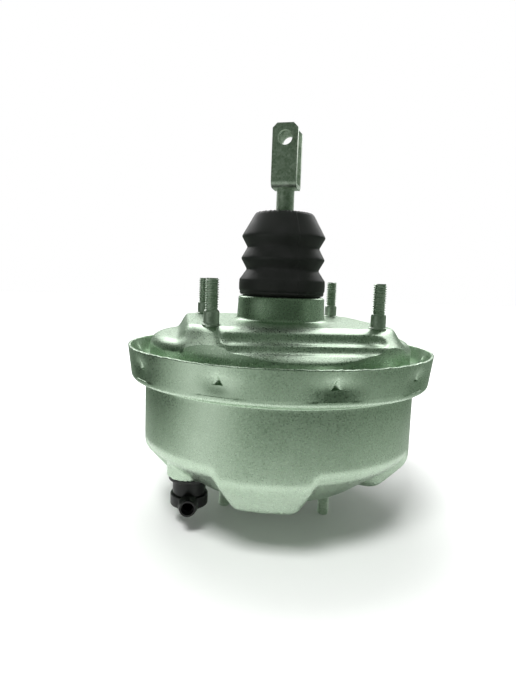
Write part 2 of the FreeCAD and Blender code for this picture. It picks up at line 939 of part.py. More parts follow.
def diaphragm_plate():
    """Dished steel plate behind the diaphragm."""
    line = [
        (plate_rim_r, plate_rim_z),
        (plate_cone_r, plate_cone_z, 3.0),
        (plate_flat_r, plate_top_z, 6.0),
        (hub_land_r + seat_gap, plate_top_z),
    ]
    return pressed(line, plate_t)


def diaphragm():
    """Rubber diaphragm: bead in the rim, rolled fold, cone on the plate and inner bead."""
    top = plate_top_z + rubber_t
    ledge = rim_root_z + sheet
    flange = flange_top_z - sheet
    outer_wall = bowl_r - sheet - 0.4
    inner_wall = outer_wall - 2 * roll_r - 2 * rubber_t
    roll_z = plate_rim_z - 6.5
    neck_z = ledge + rubber_t
    cone_run = plate_cone_r - plate_flat_r
    lift = rubber_t * math.hypot(cone_run, plate_top_z - plate_cone_z) / cone_run
    groove_top = hub_bead_z - seat_gap
    return turned([
        (hub_bead_groove_r + seat_gap, plate_top_z),
        (plate_flat_r, plate_top_z, 6.0),
        (plate_cone_r, plate_cone_z, 3.0),
        (inner_wall - 0.6, plate_rim_z),
        (inner_wall, roll_z, 0),
        (inner_wall + rubber_t, roll_z - rubber_t - roll_r, roll_r),
        (outer_wall - rubber_t, roll_z - rubber_t - roll_r, roll_r),
        (outer_wall, roll_z, 0),
        (outer_wall, ledge),
        (rim_inner_r(ledge) - flange_gap - 1.0, ledge, 1.0),
        (rim_inner_r(ledge) - flange_gap - 1.0, flange, 1.0),
        (bead_inner_r, flange),
        (bead_inner_r, neck_z, 0.8),
        (outer_wall - rubber_t, neck_z, 1.0),
        (outer_wall - rubber_t, roll_z + 0.5),
        (inner_wall + rubber_t, roll_z + 0.5),
        (inner_wall + rubber_t - 0.8, plate_rim_z + 1.5, 0),
        (plate_cone_r, plate_cone_z + lift, 3.0),
        (plate_flat_r, top, 6.0),
        (hub_r + 2.0, top),
        (hub_r + 2.0, groove_top, 0.5),
        (hub_bead_groove_r + seat_gap, groove_top),
    ])


def reaction_disc():
    """Rubber disc between the piston body and the output rod."""
    return cylinder(reaction_bore_r - seat_gap, reaction_bore_top_z - reaction_disc_t, reaction_bore_top_z)


def output_head_z():
    """Rear face of the output rod's head."""
    return reaction_bore_top_z - reaction_disc_t


def output_rod():
    """Output rod with its head on the reaction disc and a threaded end for the screw."""
    top = output_head_z()
    under = top - output_head_t
    bore_end = output_rod_end_z + 12
    return turned([
        (0, top),
        (output_head_r, top),
        (output_head_r, under),
        (output_rod_r, under, 2.0),
        (output_rod_r, output_rod_end_z, 0.6),
        (output_screw_r + fit_gap, output_rod_end_z),
        (output_screw_r + fit_gap, bore_end),
        (0, bore_end),
    ])


def output_screw():
    """Adjusting screw with a domed head in the end of the output rod."""
    seat = output_rod_end_z
    dome = output_screw_head_r * 0.6
    stem = cylinder(output_screw_r, seat, seat + 11)
    flats = [polar(output_screw_head_r / math.cos(math.radians(30)), 60 * i + 30, output_tip_z + dome)
             for i in range(6)]
    head = Part.Face(Part.makePolygon(flats + [flats[0]])).extrude(V(0, 0, seat - output_tip_z - dome))
    tip = turned([
        (0, output_tip_z),
        (output_screw_head_r * 0.6, output_tip_z, 1.2),
        (output_screw_head_r, output_tip_z + dome),
        (0, output_tip_z + dome),
    ])
    return stem.fuse([head, tip]).removeSplitter()


def output_retainer():
    """Pressed ring that keeps the output rod's head in the nose."""
    top = output_head_z() - output_head_t - seat_gap
    line = [
        (reaction_bore_r - fit_gap, top - output_retainer_height),
        (reaction_bore_r - fit_gap, top, 0.8),
        (output_rod_r + 3, top),
    ]
    return pressed(line, output_retainer_t)


def boot():
    """Rubber boot with three folds, hooked into the neck's curled edge and closed round the rod."""
    outer = [
        (boot_bead_r - 1.2, boot_bottom_z, 0.8),
        (boot_bead_r, boot_bottom_z + 3.0, 1.5),
    ]
    for number in range(boot_ridge_count):
        ridge_z = boot_first_ridge_z + number * boot_pitch
        outer.append((boot_ridge_r + 0.6, ridge_z, 2.0))
        if number < boot_ridge_count - 1:
            outer.append((boot_valley_r - 0.4, ridge_z + boot_pitch / 2, 2.0))
    outer.append((boot_cap_r + 1.6, boot_top_z - 3.0, 3.0))
    outer.append((boot_cap_r - 1.0, boot_top_z, 1.5))
    outer.append((rod_r + 0.2, boot_top_z))
    inner = offset_line(outer, boot_wall)[::-1]
    inner[0] = (rod_r + 0.2, boot_top_z - boot_wall, 0)
    curl = neck_r - sheet - neck_curl_width - 0.2
    inner[-1] = (curl - 2.5, boot_bottom_z, 0)
    inner[-2] = (curl - 1.5, boot_bottom_z + 5.0, 1.0)
    lip_top = neck_height - sheet - 0.15
    foot = [
        (curl - 2.5, lip_top - boot_lip_depth, 0.5),
        (boot_lip_r - 1.0, lip_top - boot_lip_depth, 0.8),
        (boot_lip_r, lip_top - 1.0, 0.4),
        (boot_lip_r, lip_top, 0),
        (curl, lip_top, 0),
        (curl, boot_bottom_z, 0),
    ]
    return turned(outer + inner[:-1] + foot)


def grommet():
    """Rubber grommet that seals the check valve's stem in the front shell."""
    top = valve_flat_z + sheet
    low = valve_flat_z - grommet_flange_t
    body = turned([
        (grommet_bore_r, low),
        (grommet_flange_r, low, 0.8),
        (grommet_flange_r, valve_flat_z),
        (grommet_hole_r - 0.05, valve_flat_z),
        (grommet_hole_r - 0.05, top),
        (grommet_inner_r, top),
        (grommet_inner_r - 1.5, top + grommet_inner_t, 0.8),
        (grommet_bore_r, top + grommet_inner_t),
    ])
    return body.translated(valve_centre())


def valve_levels():
    """Heights of the check valve: body top, joint with the drum below it and drum bottom."""
    body_top = valve_flat_z - grommet_flange_t - seat_gap
    joint = body_top - valve_body_height
    return body_top, joint, joint - valve_drum_height


def check_valve_body():
    """Upper half of the check valve: stem in the grommet, seat and round wall."""
    body_top, joint, _ = valve_levels()
    stem_r = grommet_bore_r - fit_gap
    bore = stem_r - valve_wall
    body = turned([
        (bore, valve_stem_end_z),
        (stem_r - 0.6, valve_stem_end_z),
        (valve_stem_barb_r, valve_stem_end_z - 2.0),
        (stem_r, valve_stem_end_z - 2.6),
        (stem_r, body_top),
        (valve_body_r, body_top, 0.8),
        (valve_body_r, joint),
        (valve_body_r - valve_wall, joint),
        (valve_body_r - valve_wall, body_top - valve_wall),
        (bore + 0.8, body_top - valve_wall),
        (bore + 0.8, body_top - valve_wall - 0.8),
        (bore, body_top - valve_wall - 0.8),
    ])
    return body.translated(valve_centre())


def nozzle_line():
    """Outline of the nozzle along its axis, with its barbs, from the drum's centre out."""
    land = nozzle_reach - nozzle_tip_land
    line = [(0, nozzle_r)]
    for number in range(nozzle_barb_count):
        back = land - (nozzle_barb_count - number) * nozzle_barb_pitch
        line.append((back, nozzle_r))
        line.append((back, nozzle_barb_r))
    line.append((land, nozzle_r))
    line.append((nozzle_reach, nozzle_r))
    return line


def check_valve_elbow():
    """Lower half of the check valve: drum with the hose nozzle on its side."""
    _, joint, bottom = valve_levels()
    inside = valve_body_r - valve_wall
    drum = turned([
        (0, bottom),
        (valve_drum_r, bottom, 1.4),
        (valve_drum_r, joint, 0.8),
        (inside, joint),
        (inside, bottom + valve_wall),
        (0, bottom + valve_wall),
    ])
    axis_z = joint - nozzle_axis_drop
    half = [V(inside, 0, axis_z), V(inside, 0, axis_z + nozzle_r)]
    half.extend(V(x, 0, axis_z + r) for x, r in nozzle_line() if x > inside)
    half.append(V(nozzle_reach, 0, axis_z))
    spout = Part.Face(Part.makePolygon(half + [half[0]])).revolve(V(0, 0, axis_z), V(1, 0, 0), 360)
    spout = spout.cut(cylinder(valve_body_r + seat_gap, joint, joint + nozzle_r))
    spout = spout.cut(cylinder(inside, bottom + valve_wall, joint))
    bore = Part.makeCylinder(nozzle_bore_r, nozzle_reach, V(inside / 2, 0, axis_z), V(1, 0, 0))
    mouth_start = V(nozzle_reach - nozzle_mouth_depth, 0, axis_z)
    mouth = Part.makeCylinder(nozzle_mouth_r, nozzle_mouth_depth, mouth_start, V(1, 0, 0))
    whole = drum.fuse(spout).cut(bore.fuse(mouth)).removeSplitter()
    whole.rotate(V(0, 0, 0), AXIS, nozzle_azimuth)
    return whole.translated(valve_centre())


def check_valve_disc():
    """Rubber disc that closes the stem's passage."""
    body_top = valve_levels()[0]
    high = body_top - valve_wall - 0.8 - seat_gap
    disc = turned([
        (0, high - valve_disc_t),
        (valve_disc_r, high - valve_disc_t, 0.4),
        (valve_disc_r, high, 0.4),
        (0, high),
    ])
    return disc.translated(valve_centre())


def check_valve_spring():
    """Small spring that lifts the disc to its seat."""
    body_top, _, bottom = valve_levels()
    high = body_top - valve_wall - 0.8 - seat_gap - valve_disc_t
    return coil(valve_coil_r, valve_wire_r, bottom + valve_wall, high, 4).translated(valve_centre())


NODES = {
    "front_shell": front_shell,
    "rear_shell": rear_shell,
    "firewall_studs": firewall_studs,
    "master_cylinder_studs": cylinder_studs,
    "front_reinforcement_plate": front_plate,
    "front_seal": front_seal,
    "front_seal_cup": front_cup,
    "rear_seal": rear_seal,
    "rear_guide_ring": guide_ring,
    "return_spring": return_spring,
    "diaphragm": diaphragm,
    "diaphragm_plate": diaphragm_plate,
    "valve_body": valve_body,
    "valve_key": valve_key,
    "poppet_valve": poppet,
    "poppet_spring": poppet_spring,
    "poppet_retainer": poppet_retainer,
    "air_filter": air_filter,
    "air_silencer": silencer,
    "air_valve_plunger": plunger,
    "reaction_disc": reaction_disc,
    "output_rod": output_rod,
    "output_rod_screw": output_screw,
    "output_rod_retainer": output_retainer,
    "input_rod": input_rod,
    "rod_return_spring": rod_spring,
    "clevis": clevis,
    "boot": boot,
    "check_valve_grommet": grommet,
    "check_valve_body": check_valve_body,
    "check_valve_elbow": check_valve_elbow,
    "check_valve_disc": check_valve_disc,
    "check_valve_spring": check_valve_spring,
}


def main():
    """Write one STEP file for each node."""
    os.makedirs("parts", exist_ok=True)
    for name, make in NODES.items():
        shape = make()
        print(name, len(shape.Solids), round(shape.Volume, 1), shape.isValid())
        shape.exportStep("parts/" + name + ".step")


main()
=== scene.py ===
"""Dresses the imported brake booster: pressed shells, threads, boot, finishes and the photo studio.

Lengths in the piece functions are millimetres in the frame of the part, and become metres in
add_piece. Z points to the pedal. Outlines are (r, z, corner radius), and azimuths turn about Z.
"""

import json
import math
import random

import bpy
import numpy as np
from mathutils import Matrix, Vector


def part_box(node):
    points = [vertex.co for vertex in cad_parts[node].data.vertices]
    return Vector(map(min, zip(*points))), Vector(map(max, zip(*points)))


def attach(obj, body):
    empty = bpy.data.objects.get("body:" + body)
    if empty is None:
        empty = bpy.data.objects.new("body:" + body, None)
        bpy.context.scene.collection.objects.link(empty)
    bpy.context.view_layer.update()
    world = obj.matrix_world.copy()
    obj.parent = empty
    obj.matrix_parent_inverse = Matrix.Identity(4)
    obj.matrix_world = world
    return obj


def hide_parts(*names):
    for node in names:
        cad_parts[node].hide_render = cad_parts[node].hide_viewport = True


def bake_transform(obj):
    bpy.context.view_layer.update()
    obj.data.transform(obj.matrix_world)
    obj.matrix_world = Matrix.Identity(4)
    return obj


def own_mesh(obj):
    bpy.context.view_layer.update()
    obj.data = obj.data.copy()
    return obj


MM = 0.001
TURN = 2 * math.pi
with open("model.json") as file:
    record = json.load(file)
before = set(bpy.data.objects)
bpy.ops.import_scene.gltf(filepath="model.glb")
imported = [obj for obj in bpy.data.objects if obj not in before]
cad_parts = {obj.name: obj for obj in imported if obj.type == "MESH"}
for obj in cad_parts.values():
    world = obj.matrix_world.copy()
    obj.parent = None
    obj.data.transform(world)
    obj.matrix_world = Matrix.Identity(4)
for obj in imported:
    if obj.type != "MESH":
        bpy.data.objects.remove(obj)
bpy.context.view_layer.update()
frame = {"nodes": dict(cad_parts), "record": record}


# ---- camera -------------------------------------------------------------------------------------

# Fitted to the rim, the studs, the neck and the boot: the camera's place in metres, and the
# directions of the picture's right side and of the way back out of the picture.
CAMERA_PLACE = (-0.0678, -0.3457, 0.0263)
PICTURE_RIGHT = (0.9886, -0.1466, 0.0354)
PICTURE_BACK = (-0.1499, -0.9811, 0.1225)
FOCAL_PX, PICTURE_HEIGHT_PX, SENSOR_MM = 512.0, 688.0, 36.0


def add_camera():
    """Camera at the photograph's place."""
    data = bpy.data.cameras.new("camera")
    data.sensor_width = SENSOR_MM
    data.lens = SENSOR_MM * FOCAL_PX / PICTURE_HEIGHT_PX
    data.clip_start, data.clip_end = 0.01, 50.0
    camera = bpy.data.objects.new("camera", data)
    bpy.context.scene.collection.objects.link(camera)
    back = Vector(PICTURE_BACK).normalized()
    up = back.cross(Vector(PICTURE_RIGHT).normalized()).normalized()
    turn = Matrix((up.cross(back), up, back)).transposed().to_4x4()
    camera.matrix_world = Matrix.Translation(CAMERA_PLACE) @ turn
    bpy.context.scene.camera = camera


# ---- mesh helpers -------------------------------------------------------------------------------

def new_object(name, points, faces):
    """Mesh object from points in metres, linked to the scene."""
    mesh = bpy.data.meshes.new(name)
    mesh.from_pydata(points, [], faces)
    made = bpy.data.objects.new(name, mesh)
    bpy.context.scene.collection.objects.link(made)
    return made


def add_piece(name, points, faces, body, slot, replaced, sharp_deg=35.0, wall_mm=0.0):
    """Piece from points in mm that rides on a body, if any; wall_mm gives an open skin a wall."""
    piece = new_object(name, [tuple(p) for p in np.asarray(points, float) * MM], faces)
    mesh = piece.data
    mesh.validate()
    mesh.update()
    mesh.shade_smooth()
    mesh.set_sharp_from_angle(angle=math.radians(sharp_deg))
    mesh.materials.append(FINISHES[slot])
    if wall_mm:
        wall = piece.modifiers.new("sheet", "SOLIDIFY")
        wall.thickness = wall_mm * MM
        wall.offset = -1.0
    if body:
        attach(piece, body)
    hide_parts(replaced)
    return piece


def grid_faces(rows, columns, flip=False):
    """Quads of a grid that is closed round its columns."""
    faces = []
    for row in range(rows - 1):
        for column in range(columns):
            after = (column + 1) % columns
            low, high = row * columns, (row + 1) * columns
            face = (low + column, low + after, high + after, high + column)
            faces.append(face[::-1] if flip else face)
    return faces


def turned_grid(line, azimuths):
    """Points of an outline (r, z) turned about Z, one row for each corner of the outline."""
    line = np.asarray(line, float)
    r, z = line[:, 0][:, None], line[:, 1][:, None]
    turn = np.asarray(azimuths)[None, :]
    grid = np.stack([r * np.cos(turn), r * np.sin(turn), z + 0 * turn], axis=-1)
    return grid.reshape(-1, 3)


def rounded_line(corners, step_deg=12.0):
    """Open outline of (r, z, corner radius) with its corners turned into arcs."""
    result = []
    for i, corner in enumerate(corners):
        here = np.array(corner[:2], float)
        radius = corner[2] if len(corner) > 2 else 0.0
        if radius <= 0 or i in (0, len(corners) - 1):
            result.append(tuple(here))
            continue
        before = np.array(corners[i - 1][:2], float) - here
        after = np.array(corners[i + 1][:2], float) - here
        before, after = before / np.hypot(*before), after / np.hypot(*after)
        inner = math.acos(max(-1.0, min(1.0, float(before @ after))))
        reach = radius / math.tan(inner / 2)
        halfway = (before + after) / np.hypot(*(before + after))
        centre = here + halfway * radius / math.sin(inner / 2)
        first, last = here + before * reach - centre, here + after * reach - centre
        start = math.atan2(first[1], first[0])
        turn = (math.atan2(last[1], last[0]) - start + math.pi) % TURN - math.pi
        steps = max(2, int(abs(math.degrees(turn)) / step_deg))
        for k in range(steps + 1):
            a = start + turn * k / steps
            result.append((centre[0] + radius * math.cos(a), centre[1] + radius * math.sin(a)))
    return result


def divided(line, longest):
    """The outline with its long runs cut into shorter ones."""
    result = [line[0]]
    for (r0, z0), (r1, z1) in zip(line, line[1:]):
        count = max(1, math.ceil(math.hypot(r1 - r0, z1 - z0) / longest))
        for k in range(1, count + 1):
            result.append((r0 + (r1 - r0) * k / count, z0 + (z1 - z0) * k / count))
    return result


def soft_max(a, b, width):
    """Larger of two heights, rounded where they are within a width of each other."""
    share = np.clip(0.5 + 0.5 * (a - b) / width, 0.0, 1.0)
    return b + (a - b) * share + width * share * (1 - share)


def soft_min(a, b, width):
    """Smaller of two heights, rounded where they are within a width of each other."""
    return -soft_max(-a, -b, width)


def wave_noise(azimuths, seed, count, low, high):
    """Closed random curve round the part, of waves between two counts per turn, about -1 to 1."""
    draw = random.Random(seed)
    total = np.zeros_like(azimuths)
    for _ in range(count):
        waves = draw.randint(low, high)
        total += math.sqrt(2.0 / count) * np.cos(waves * azimuths + draw.uniform(0, TURN))
    return total


# ---- finishes -----------------------------------------------------------------------------------

def linear(hex_colour):
    """Linear RGBA of an sRGB hex colour."""
    channels = [int(hex_colour[i:i + 2], 16) / 255 for i in (1, 3, 5)]
    return (*(c / 12.92 if c <= 0.04045 else ((c + 0.055) / 1.055) ** 2.4 for c in channels), 1.0)


def add_node(tree, kind, inputs=None, **settings):
    """Adds a node with its settings, and its inputs as values or links from other outputs."""
    node = tree.nodes.new(kind)
    for key, value in settings.items():
        setattr(node, key, value)
    for key, value in (inputs or {}).items():
        if isinstance(value, bpy.types.NodeSocket):
            tree.links.new(value, node.inputs[key])
        else:
            node.inputs[key].default_value = value
    return node


def new_material(name):
    """Empty node material and its shader."""
    material = bpy.data.materials.new(name)
    material.use_nodes = True
    tree = material.node_tree
    shader = next(n for n in tree.nodes if n.type == "BSDF_PRINCIPLED")
    return material, tree, shader


# Real plate crystals and mould textures are about 0.1 mm across. Both are drawn coarser, so that
# they show in the picture.
SKIN_GRAIN_MM = 0.6


def plated_steel(name, light, dark, roughness, grain_mm, grain_um, stain_mm, stain_share):
    """Steel with a sparkling grain of small plate crystals and soft cloudy stains."""
    material, tree, shader = new_material(name)
    place = add_node(tree, "ShaderNodeTexCoord").outputs["Object"]
    grain = add_node(tree, "ShaderNodeTexNoise", {
        "Vector": place, "Scale": 1 / (grain_mm * MM), "Detail": 2.0, "Roughness": 0.6})
    crystal = add_node(tree, "ShaderNodeTexVoronoi", {
        "Vector": place, "Scale": 1 / (1.3 * grain_mm * MM)})
    crystal_tone = add_node(tree, "ShaderNodeSeparateColor", {"Color": crystal.outputs["Color"]})
    stain = add_node(tree, "ShaderNodeTexNoise", {
        "Vector": place, "Scale": 1 / (stain_mm * MM), "Detail": 4.0, "Roughness": 0.6})
    # The two grains add up to about 0.4 to 1.5.
    mixed = add_node(tree, "ShaderNodeMath", {
        0: grain.outputs["Fac"], 1: crystal_tone.outputs["Red"]}, operation="ADD")
    grain_level = add_node(tree, "ShaderNodeMapRange", {
        "Value": mixed.outputs[0], "From Min": 0.45, "From Max": 1.45,
        "To Min": 0.0, "To Max": 1.0 - stain_share})
    stain_level = add_node(tree, "ShaderNodeMapRange", {
        "Value": stain.outputs["Fac"], "From Min": 0.3, "From Max": 0.7,
        "To Min": 0.0, "To Max": stain_share})
    level = add_node(tree, "ShaderNodeMath", {
        0: grain_level.outputs[0], 1: stain_level.outputs[0]}, operation="ADD", use_clamp=True)
    colour = add_node(tree, "ShaderNodeMix", {
        "Factor": level.outputs[0], "A": linear(dark), "B": linear(light)}, data_type="RGBA")
    rough = add_node(tree, "ShaderNodeMapRange", {
        "Value": mixed.outputs[0], "From Min": 0.4, "From Max": 1.5,
        "To Min": roughness - 0.10, "To Max": roughness + 0.10})
    bump = add_node(tree, "ShaderNodeBump", {
        "Height": mixed.outputs[0], "Strength": 1.0, "Distance": grain_um * 1e-6})
    tree.links.new(colour.outputs["Result"], shader.inputs["Base Color"])
    tree.links.new(rough.outputs[0], shader.inputs["Roughness"])
    tree.links.new(bump.outputs["Normal"], shader.inputs["Normal"])
    shader.inputs["Metallic"].default_value = 1.0
    return material


def moulded(name, light, dark, roughness, spot_mm, skin_um, ior=1.5):
    """Moulded rubber or plastic: an even skin with faint cloudy marks and a fine mould texture."""
    material, tree, shader = new_material(name)
    place = add_node(tree, "ShaderNodeTexCoord").outputs["Object"]
    cloud = add_node(tree, "ShaderNodeTexNoise", {
        "Vector": place, "Scale": 1 / (spot_mm * MM), "Detail": 3.0, "Roughness": 0.55})
    skin = add_node(tree, "ShaderNodeTexNoise", {
        "Vector": place, "Scale": 1 / (SKIN_GRAIN_MM * MM), "Detail": 2.0})
    share = add_node(tree, "ShaderNodeMapRange", {
        "Value": cloud.outputs["Fac"], "From Min": 0.3, "From Max": 0.7})
    colour = add_node(tree, "ShaderNodeMix", {
        "Factor": share.outputs[0], "A": linear(dark), "B": linear(light)}, data_type="RGBA")
    rough = add_node(tree, "ShaderNodeMapRange", {
        "Value": cloud.outputs["Fac"], "From Min": 0.3, "From Max": 0.7,
        "To Min": roughness - 0.06, "To Max": roughness + 0.06})
    bump = add_node(tree, "ShaderNodeBump", {
        "Height": skin.outputs["Fac"], "Strength": 0.6, "Distance": skin_um * 1e-6})
    tree.links.new(colour.outputs["Result"], shader.inputs["Base Color"])
    tree.links.new(rough.outputs[0], shader.inputs["Roughness"])
    tree.links.new(bump.outputs["Normal"], shader.inputs["Normal"])
    shader.inputs["IOR"].default_value = ior
    return material


FINISHES = {
    # Deep drawn sheet with a green passivated zinc plate: satin, sparkling in the light.
    "zinc_sheet": plated_steel("satin_zinc_sheet", "#d4e6d2", "#b0c3ae", 0.33,
                               grain_mm=0.45, grain_um=9, stain_mm=26, stain_share=0.35),
    # Rolled studs in the same plate, with a coarser and deeper grain. Painted light: their colour
    # is paler than the sheet's, so that their sides, which reflect the dark room, come out
    # brighter.
    "plated_studs": plated_steel("zinc_stud_painted_paler", "#f2f8f0", "#c3d2c1", 0.42,
                                 grain_mm=0.7, grain_um=30, stain_mm=6, stain_share=0.4),
    # Rod and folded clevis in a thin plate: dull, mottled with small grey stains.
    "plated_rod": plated_steel("mottled_zinc_rod", "#eef5ec", "#a3b69f", 0.46,
                               grain_mm=0.9, grain_um=40, stain_mm=5, stain_share=0.5),
    # Bare pressed and turned steel inside the shells: neutral grey.
    "inner_steel": plated_steel("bare_steel", "#b4b6b4", "#8b8e8b", 0.4,
                                grain_mm=0.8, grain_um=15, stain_mm=20, stain_share=0.4),
    # Drawn spring wire, hardened in oil: dark grey with a soft shine.
    "spring_steel": plated_steel("oiled_spring_wire", "#6f706f", "#4a4b4a", 0.35,
                                 grain_mm=0.8, grain_um=10, stain_mm=10, stain_share=0.4),
    # Moulded black rubber, matt enough that its folds show as broad dull lights.
    "boot_rubber": moulded("boot_rubber", "#1f1f1f", "#161716", 0.52, spot_mm=9, skin_um=40),
    # Lip seals and grommet: the same rubber with a smoother, greased skin.
    "seal_rubber": moulded("seal_rubber", "#1e1f1e", "#151615", 0.45, spot_mm=6, skin_um=30),
    # Rubber calendered on cloth: greyer and quite matt.
    "diaphragm_rubber": moulded("diaphragm_rubber", "#262626", "#1a1a1a", 0.6,
                                spot_mm=8, skin_um=60),
    # Phenolic moulding of the power piston: brown black with a faint sheen.
    "piston_plastic": moulded("phenolic_moulding", "#35302b", "#28241f", 0.45,
                              spot_mm=7, skin_um=25),
    # Moulded nylon of the check valve: near black, with small clear lights at its edges.
    "valve_plastic": moulded("black_nylon", "#0c0d0c", "#080908", 0.42,
                             spot_mm=5, skin_um=20, ior=1.45),
    # Open foam ring of the air filter: dark, with deep pores.
    "filter_foam": moulded("filter_foam", "#3c3c38", "#22221f", 0.9, spot_mm=1.2, skin_um=400),
    # Pressed wool felt of the silencer: grey brown and fully matt.
    "felt": moulded("pressed_felt", "#8c8779", "#6c685c", 0.95, spot_mm=2.0, skin_um=300),
}


# ---- front shell --------------------------------------------------------------------------------

# Both shells are pressed from sheet of this thickness.
SHEET = 1.6

# Rim: a wall that leans in to its root, with a ragged sheared edge.
RIM_R, RIM_LEAN, RIM_TOP, RIM_ROOT, RIM_END = 101.6, 2.6, -17.0, -38.1, -34.0
RAGGED, RAGGED_DROP, RAGGED_BAND = 0.16, 0.25, 1.2

# Lances: pyramids sheared at their base and pressed in, each in a soft dent.
LANCES, LANCE_PHASE = 10, math.radians(-83.4)
LANCE_BASE, LANCE_HEIGHT, LANCE_HALF, LANCE_DEPTH = -27.9, 8.0, 4.4, 3.4
DENT_DEPTH, DENT_HALF, DENT_HEIGHT, DENT_LIFT = 1.9, 10.5, 6.0, 1.0
DENT_SHARE = 0.6  # part of the dent's depth that counts towards the lance in it

# Bowl: wall, cone and flat pad, and how wide the bends between them are.
BOWL_R, BOWL_TOP, CONE_TOP, CONE_FOOT, PAD_Z = 90.3, -43.0, -86.5, 70.9, -108.5
CONE_NORMAL_R, CONE_NORMAL_Z = 0.7502, 0.6612
CONE_BEND, PAD_BEND = 3.6, 5.2
PAD_R, PILOT_R = 48.0, 19.05

# Recesses between the four lobes: a sloping floor between two drafted flanks.
LOBES, RECESS_PHASE = 4, math.radians(-59.75)
RECESS_FOOT, RECESS_SLOPE = 54.0, math.radians(37.6)
RECESS_HALF, RECESS_DRAFT, RECESS_LEVEL = math.radians(27.5), math.tan(math.radians(8.0)), 13.5
RECESS_CORNER, RECESS_BEND = 6.0, 5.0

# Check valve's seat: a flat boss on the cone with a hole for the grommet.
VALVE_R, VALVE_AZIMUTH = 63.0, math.radians(-163.4)
VALVE_CENTRE = VALVE_R * np.array([math.cos(VALVE_AZIMUTH), math.sin(VALVE_AZIMUTH)])
BOSS_R, BOSS_Z, GROMMET_HOLE_R = 14.8, -102.0, 9.5
BOSS_CORNER, BOSS_BEND, BOSS_EDGE = 2.0, 2.5, 1.2


def shell_azimuths():
    """Columns round the front shell, closer together at the lances."""
    near, far = math.radians(5.0), TURN / LANCES / 2
    offsets = np.concatenate([
        np.linspace(-far, -near, 11)[:-1], np.linspace(-near, near, 25)[:-1],
        np.linspace(near, far, 11)[:-1]])
    return np.concatenate([LANCE_PHASE + k * TURN / LANCES + offsets for k in range(LANCES)])


def lance_dent(azimuths, z):
    """Inward depths of the rim's wall at a height: the soft dents, and the lances in them."""
    step = TURN / LANCES
    across = ((azimuths - LANCE_PHASE + step / 2) % step - step / 2) * RIM_R
    share = min(max((LANCE_BASE + LANCE_HEIGHT - z) / LANCE_HEIGHT, 0.0), 1.0)
    inside = z >= LANCE_BASE - 0.01 and share > 0
    half = LANCE_HALF * max(share, 1e-6)
    lance = LANCE_DEPTH * share * np.clip(1 - np.abs(across) / half, 0, 1) * inside
    fade = math.exp(-((z - LANCE_BASE - DENT_LIFT) / DENT_HEIGHT) ** 2)
    dent = DENT_DEPTH * np.exp(-(across / DENT_HALF) ** 2) * fade
    return dent, np.maximum(lance - DENT_SHARE * dent, 0.0)


def bowl_level(x, y, z):
    """Signed level of the bowl: below 0 inside, above 0 outside."""
    r = np.hypot(x, y)
    wall = r - BOWL_R
    cone = (r - CONE_FOOT) * CONE_NORMAL_R - (z - PAD_Z) * CONE_NORMAL_Z
    level = soft_max(soft_max(wall, cone, CONE_BEND), PAD_Z - z, PAD_BEND)
    floor = (r - RECESS_FOOT) * math.sin(RECESS_SLOPE) - (z - PAD_Z) * math.cos(RECESS_SLOPE)
    step = TURN / LOBES
    turn = (np.arctan2(y, x) - RECESS_PHASE + step / 2) % step - step / 2
    flank = r * np.sin(RECESS_HALF - np.abs(turn)) + (PAD_Z + RECESS_LEVEL - z) * RECESS_DRAFT
    level = soft_max(level, soft_min(floor, flank, RECESS_CORNER), RECESS_BEND)
    from_valve = np.hypot(x - VALVE_CENTRE[0], y - VALVE_CENTRE[1]) - BOSS_R
    flat = BOSS_Z - z
    boss = soft_max(soft_max(from_valve, flat, BOSS_CORNER), wall, BOSS_CORNER)
    level = soft_min(level, boss, BOSS_BEND)
    return soft_max(level, -soft_max(from_valve, -flat, BOSS_CORNER), BOSS_EDGE)


def bowl_rows(azimuths):
    """Rows of points down the bowl, found along rays from its middle by halving."""
    side = [(BOWL_R, BOWL_TOP), (BOWL_R, CONE_TOP), (CONE_FOOT, PAD_Z), (PAD_R, PAD_Z)]
    pad = [(PAD_R, PAD_Z), (PILOT_R, PAD_Z)]
    line = np.array(divided(side, 1.3) + divided(pad, 3.6)[1:])
    middle = -60.0
    ray_r = line[:, 0][:, None] + 0 * azimuths
    ray_z = (line[:, 1] - middle)[:, None] + 0 * azimuths
    # The surface lies between these two shares of each ray.
    low, high = np.full_like(ray_r, 0.5), np.full_like(ray_r, 1.15)
    cos, sin = np.cos(azimuths)[None, :], np.sin(azimuths)[None, :]
    for _ in range(30):
        share = (low + high) / 2
        r = ray_r * share
        outside = bowl_level(r * cos, r * sin, middle + ray_z * share) > 0
        low, high = np.where(outside, low, share), np.where(outside, share, high)
    r, z = ray_r * low, middle + ray_z * low
    return np.stack([r * cos, r * sin, z], axis=-1)


